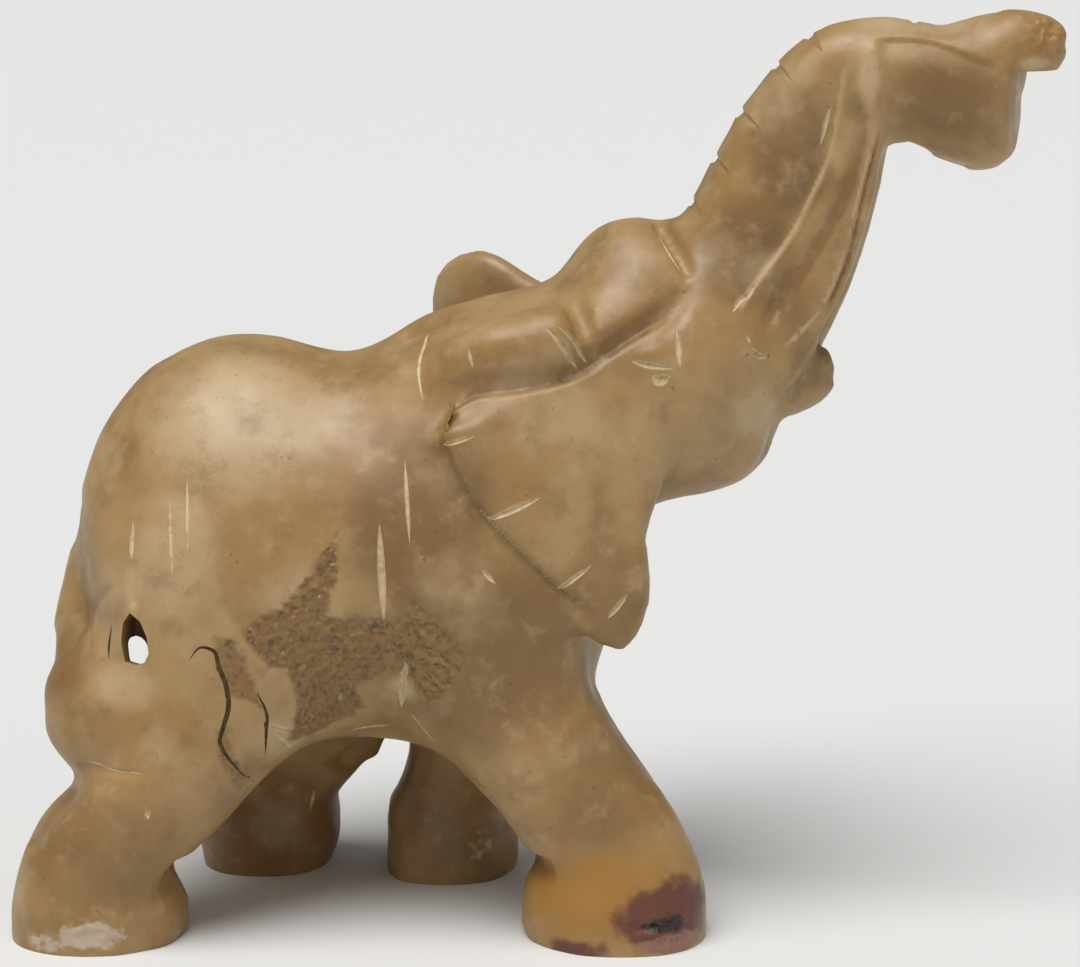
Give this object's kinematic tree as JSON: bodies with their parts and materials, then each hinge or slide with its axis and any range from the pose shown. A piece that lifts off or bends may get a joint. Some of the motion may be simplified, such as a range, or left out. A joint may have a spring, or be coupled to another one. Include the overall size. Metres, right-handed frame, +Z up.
{
  "type": "carved elephant figurine",
  "caption": "Striding elephant with raised trunk, carved in one piece from soapstone; it stands on the flat soles of its own feet.",
  "frame": {"origin": "centre of the bounding box on the surface the soles stand on", "axes": "+X the way the elephant walks, +Y to its left, +Z up"},
  "size_m": [0.125, 0.0484, 0.1084],
  "materials": {
    "soapstone": "hand polished, waxed"
  },
  "bodies": {
    "root": {"elephant": "soapstone"}
  },
  "joints": []
}
